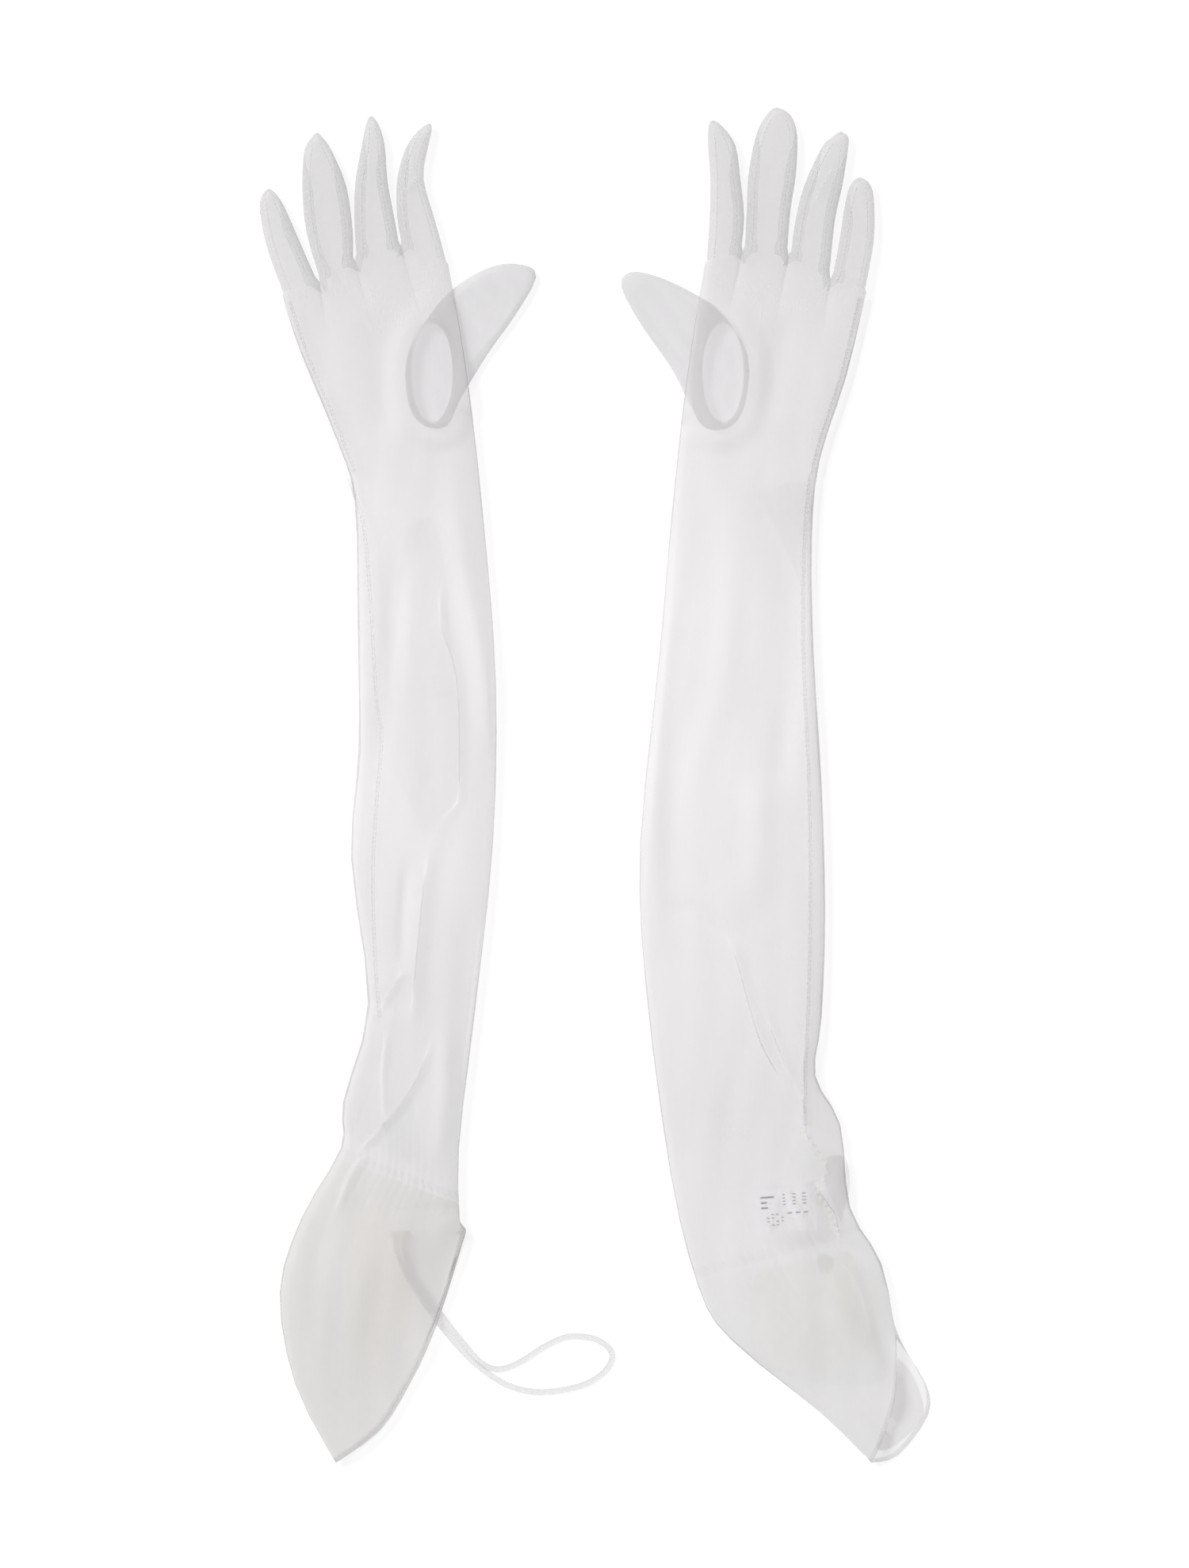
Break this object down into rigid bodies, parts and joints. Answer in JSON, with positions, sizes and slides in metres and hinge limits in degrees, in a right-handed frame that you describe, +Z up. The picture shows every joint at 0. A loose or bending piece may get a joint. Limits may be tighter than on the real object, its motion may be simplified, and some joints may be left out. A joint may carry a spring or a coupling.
{
  "type": "opera gloves",
  "caption": "Pair of long sheer opera gloves laid flat, with fourchettes, set-in thumbs, an elastic band and a flared hemmed cuff, one with a ribbon loop.",
  "frame": {"origin": "on the table, under the middle of the pair's bounding box", "axes": "+Z up off the table, +Y from the cuffs towards the fingertips, +X to the right with the backs of the hands up"},
  "size_m": [0.3807, 0.7692, 0.013],
  "materials": {
    "organza": "sheer off-white organza, fine plain weave, soft sheen",
    "organza_doubled": "doubled organza at seams, hems and fourchettes",
    "organza_facing": "cream facing of close-woven organza",
    "elastic": "white braided flat elastic",
    "ribbon": "narrow satin ribbon, soft sheen",
    "label": "white woven label, with plain grey bars for its print"
  },
  "bodies": {
    "left_upper": {"left_upper_sleeve": "organza", "left_band_casing": "organza_doubled", "left_elastic": "elastic"},
    "left_forearm": {"left_forearm_sleeve": "organza"},
    "left_hand": {"left_hand_shell": "organza", "left_thumb_seam": "organza_doubled"},
    "left_thumb": {"left_thumb": "organza"},
    "left_index": {"left_index_finger": "organza", "left_index_fourchette": "organza_doubled"},
    "left_middle": {"left_middle_finger": "organza", "left_middle_fourchette_inner": "organza_doubled", "left_middle_fourchette_outer": "organza_doubled"},
    "left_ring": {"left_ring_finger": "organza", "left_ring_fourchette_inner": "organza_doubled", "left_ring_fourchette_outer": "organza_doubled"},
    "left_little": {"left_little_finger": "organza", "left_little_fourchette": "organza_doubled"},
    "left_cuff": {"left_cuff": "organza", "left_cuff_hem": "organza_doubled", "left_cuff_facing": "organza_facing"},
    "strap": {"strap_loop": "ribbon", "strap_tack": "ribbon"},
    "right_upper": {"right_upper_sleeve": "organza", "right_band_casing": "organza_doubled", "right_elastic": "elastic", "care_label": "label"},
    "right_forearm": {"right_forearm_sleeve": "organza"},
    "right_hand": {"right_hand_shell": "organza", "right_thumb_seam": "organza_doubled"},
    "right_thumb": {"right_thumb": "organza"},
    "right_index": {"right_index_finger": "organza", "right_index_fourchette": "organza_doubled"},
    "right_middle": {"right_middle_finger": "organza", "right_middle_fourchette_inner": "organza_doubled", "right_middle_fourchette_outer": "organza_doubled"},
    "right_ring": {"right_ring_finger": "organza", "right_ring_fourchette_inner": "organza_doubled", "right_ring_fourchette_outer": "organza_doubled"},
    "right_little": {"right_little_finger": "organza", "right_little_fourchette": "organza_doubled"},
    "right_cuff": {"right_cuff": "organza", "right_cuff_hem": "organza_doubled", "right_cuff_facing": "organza_facing"}
  },
  "joints": [
    {"name": "right_glove_lift", "type": "slide", "parent": "left_upper", "child": "right_upper", "axis": [0, 0, 1], "range_m": [0, 0.12]},
    {"name": "left_elbow_fold", "type": "hinge", "parent": "left_upper", "child": "left_forearm", "pos_m": [-0.097, -0.04, 0.0133], "axis": [1, 0, 0], "range_deg": [0, 110]},
    {"name": "left_wrist_fold", "type": "hinge", "parent": "left_forearm", "child": "left_hand", "pos_m": [-0.097, 0.15, 0.0133], "axis": [1, 0, 0], "range_deg": [0, 70]},
    {"name": "left_thumb_swing", "type": "hinge", "parent": "left_hand", "child": "left_thumb", "pos_m": [-0.0922, 0.234, 0.0027], "axis": [0, 0, 1], "range_deg": [-15, 12]},
    {"name": "left_index_fold", "type": "hinge", "parent": "left_hand", "child": "left_index", "pos_m": [-0.09614, 0.29693, 0.0093], "axis": [1, 0.0057, 0], "range_deg": [0, 80]},
    {"name": "left_middle_fold", "type": "hinge", "parent": "left_hand", "child": "left_middle", "pos_m": [-0.12244, 0.29774, 0.0093], "axis": [0.9985, 0.0542, 0], "range_deg": [0, 80]},
    {"name": "left_ring_fold", "type": "hinge", "parent": "left_hand", "child": "left_ring", "pos_m": [-0.14535, 0.28654, 0.0093], "axis": [0.9897, 0.1433, 0], "range_deg": [0, 80]},
    {"name": "left_little_fold", "type": "hinge", "parent": "left_hand", "child": "left_little", "pos_m": [-0.16667, 0.2816, 0.0093], "axis": [0.953, 0.3031, 0], "range_deg": [0, 80]},
    {"name": "left_cuff_fold", "type": "hinge", "parent": "left_upper", "child": "left_cuff", "pos_m": [-0.11033, -0.22495, 0.0133], "axis": [-0.9336, 0.3584, 0], "range_deg": [0, 45]},
    {"name": "right_elbow_fold", "type": "hinge", "parent": "right_upper", "child": "right_forearm", "pos_m": [0.078, -0.04, 0.0133], "axis": [1, 0, 0], "range_deg": [0, 110]},
    {"name": "right_wrist_fold", "type": "hinge", "parent": "right_forearm", "child": "right_hand", "pos_m": [0.078, 0.15, 0.0133], "axis": [1, 0, 0], "range_deg": [0, 70]},
    {"name": "right_thumb_swing", "type": "hinge", "parent": "right_hand", "child": "right_thumb", "pos_m": [0.073, 0.234, 0.0027], "axis": [0, 0, 1], "range_deg": [-12, 15]},
    {"name": "right_index_fold", "type": "hinge", "parent": "right_hand", "child": "right_index", "pos_m": [0.0735, 0.297, 0.0093], "axis": [1, 0, 0], "range_deg": [0, 80]},
    {"name": "right_middle_fold", "type": "hinge", "parent": "right_hand", "child": "right_middle", "pos_m": [0.09725, 0.3006, 0.0093], "axis": [1, 0, 0], "range_deg": [0, 80]},
    {"name": "right_ring_fold", "type": "hinge", "parent": "right_hand", "child": "right_ring", "pos_m": [0.12087, 0.2885, 0.0093], "axis": [0.9767, -0.2147, 0], "range_deg": [0, 80]},
    {"name": "right_little_fold", "type": "hinge", "parent": "right_hand", "child": "right_little", "pos_m": [0.14397, 0.28214, 0.0093], "axis": [0.9943, -0.1065, 0], "range_deg": [0, 80]},
    {"name": "right_cuff_fold", "type": "hinge", "parent": "right_upper", "child": "right_cuff", "pos_m": [0.10299, -0.26806, 0.0133], "axis": [-0.9636, -0.2672, 0], "range_deg": [0, 45]},
    {"name": "strap_swing", "type": "hinge", "parent": "left_cuff", "child": "strap", "pos_m": [-0.1099, -0.2555, 0.0027], "axis": [0, 0, 1], "range_deg": [0, 25]}
  ]
}
